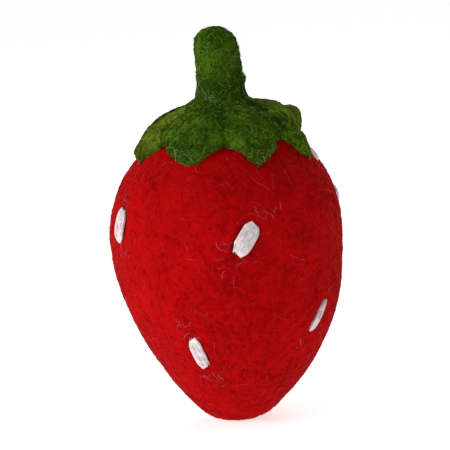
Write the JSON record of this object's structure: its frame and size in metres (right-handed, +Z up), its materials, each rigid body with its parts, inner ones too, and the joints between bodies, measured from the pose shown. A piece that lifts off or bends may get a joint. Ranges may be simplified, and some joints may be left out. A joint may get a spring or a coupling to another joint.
{
  "type": "strawberry pincushion",
  "caption": "Needle-felted wool strawberry pincushion: soft red body that stands on its flattened tip, white wool seeds, green felt calyx with lobes that lift, and a thick springy stem.",
  "frame": {"origin": "centre of the small flat foot that the tip is pressed to", "axes": "+Z up along the berry's axis to the stem; the front looks along -Y, with +X to its right"},
  "size_m": [0.042, 0.0426, 0.0714],
  "materials": {
    "red_wool": "matted needle-felted wool with loose pink fibres",
    "green_wool": "needle-felted wool, moss green with lighter fibres",
    "white_wool": "loose white wool strands needled down at both ends",
    "core_wool": "undyed carded core wool, firmly felted"
  },
  "bodies": {
    "berry": {"red_skin": "red_wool", "core_wrap": "core_wool", "core_roll": "core_wool", "stem_root": "green_wool", "collar": "green_wool", "seed_01": "white_wool", "seed_02": "white_wool", "seed_03": "white_wool", "seed_04": "white_wool", "seed_05": "white_wool", "seed_06": "white_wool", "seed_07": "white_wool", "seed_08": "white_wool", "seed_09": "white_wool", "seed_10": "white_wool", "seed_11": "white_wool", "seed_12": "white_wool", "seed_13": "white_wool", "seed_14": "white_wool", "seed_15": "white_wool", "seed_16": "white_wool", "seed_17": "white_wool"},
    "sepal_1": {"sepal_1": "green_wool"},
    "sepal_2": {"sepal_2": "green_wool"},
    "sepal_3": {"sepal_3": "green_wool"},
    "sepal_4": {"sepal_4": "green_wool"},
    "sepal_5": {"sepal_5": "green_wool"},
    "sepal_6": {"sepal_6": "green_wool"},
    "sepal_7": {"sepal_7": "green_wool"},
    "sepal_8": {"sepal_8": "green_wool"},
    "stem": {"stem": "green_wool"}
  },
  "joints": [
    {"name": "sepal_1_lift", "type": "hinge", "parent": "berry", "child": "sepal_1", "pos_m": [-0.01215, -0.00418, 0.05285], "axis": [-0.3256, 0.9455, 0], "range_deg": [0, 55], "stiffness_Nm_per_rad": 0.0001},
    {"name": "sepal_2_lift", "type": "hinge", "parent": "berry", "child": "sepal_2", "pos_m": [-0.00543, -0.01164, 0.05285], "axis": [-0.9063, 0.4226, 0], "range_deg": [0, 55], "stiffness_Nm_per_rad": 0.0001},
    {"name": "sepal_3_lift", "type": "hinge", "parent": "berry", "child": "sepal_3", "pos_m": [0.00543, -0.01164, 0.05285], "axis": [-0.9063, -0.4226, 0], "range_deg": [0, 55], "stiffness_Nm_per_rad": 0.0001},
    {"name": "sepal_4_lift", "type": "hinge", "parent": "berry", "child": "sepal_4", "pos_m": [0.01222, -0.00397, 0.05285], "axis": [-0.309, -0.9511, 0], "range_deg": [0, 55], "stiffness_Nm_per_rad": 0.0001},
    {"name": "sepal_5_lift", "type": "hinge", "parent": "berry", "child": "sepal_5", "pos_m": [0.00984, 0.00826, 0.05285], "axis": [0.6428, -0.766, 0], "range_deg": [-43, 15], "stiffness_Nm_per_rad": 0.0001},
    {"name": "sepal_6_lift", "type": "hinge", "parent": "berry", "child": "sepal_6", "pos_m": [0.00223, 0.01265, 0.05285], "axis": [0.9848, -0.1736, 0], "range_deg": [0, 55], "stiffness_Nm_per_rad": 0.0001},
    {"name": "sepal_7_lift", "type": "hinge", "parent": "berry", "child": "sepal_7", "pos_m": [-0.00642, 0.01113, 0.05285], "axis": [0.866, 0.5, 0], "range_deg": [0, 55], "stiffness_Nm_per_rad": 0.0001},
    {"name": "sepal_8_lift", "type": "hinge", "parent": "berry", "child": "sepal_8", "pos_m": [-0.01203, 0.0045, 0.05285], "axis": [0.3502, 0.9367, 0], "range_deg": [0, 55], "stiffness_Nm_per_rad": 0.0001},
    {"name": "stem_bend", "type": "hinge", "parent": "berry", "child": "stem", "pos_m": [0, 0, 0.059], "axis": [0, 1, 0], "range_deg": [-22, 25], "stiffness_Nm_per_rad": 0.001}
  ]
}
